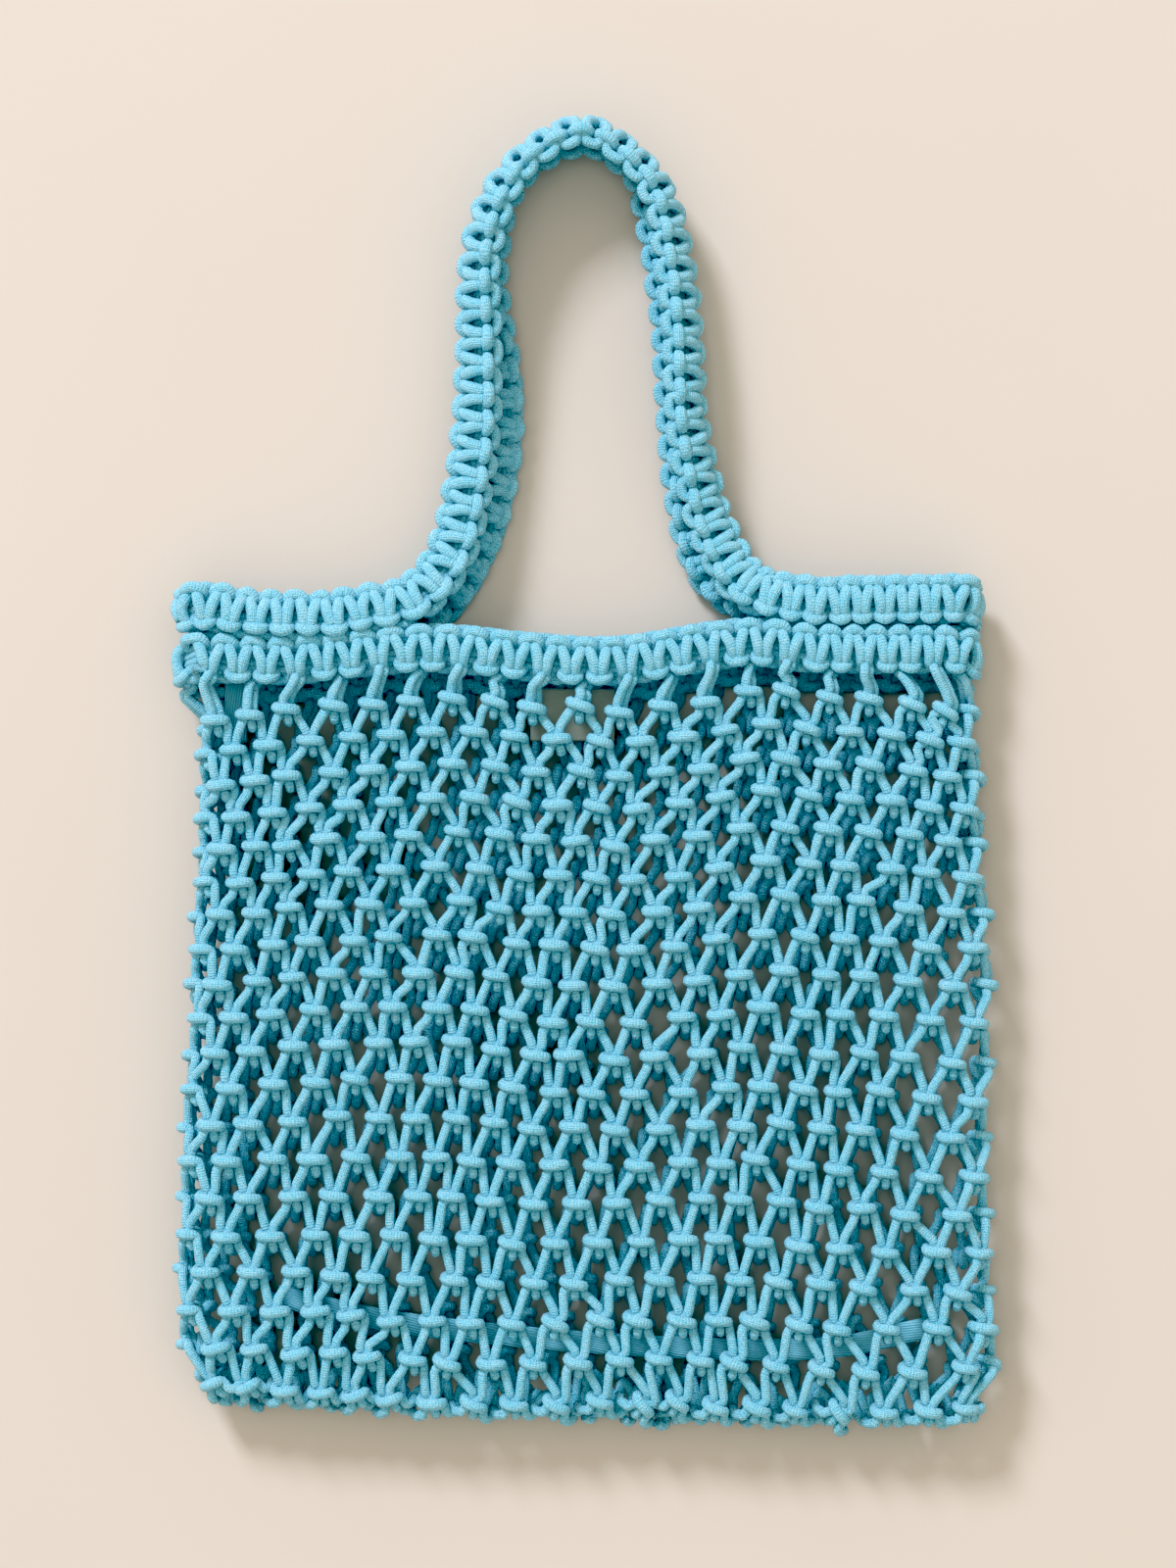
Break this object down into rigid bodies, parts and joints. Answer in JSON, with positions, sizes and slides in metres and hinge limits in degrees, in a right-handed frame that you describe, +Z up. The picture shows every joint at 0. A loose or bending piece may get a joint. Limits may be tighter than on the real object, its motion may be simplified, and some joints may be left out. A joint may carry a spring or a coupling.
{
  "type": "macrame tote bag",
  "caption": "Open net tote bag knotted from blue cotton cord, lying flat, with a knotted band round the mouth and two looped band handles.",
  "frame": {"origin": "middle of the bag's outline on the floor it lies on", "axes": "+X to the bag's right, +Y from the bottom towards the handles, +Z up from the floor through the back and front"},
  "size_m": [0.3837, 0.6033, 0.0374],
  "materials": {
    "cord": "matte knitted cotton cord",
    "tape": "matte twill tape",
    "label": "soft satin weave"
  },
  "bodies": {
    "root": {"net_bag": "cord", "mouth_band": "cord", "handle_front": "cord", "handle_back": "cord", "seam_tape": "tape", "side_tape": "tape", "label": "label"}
  },
  "joints": []
}
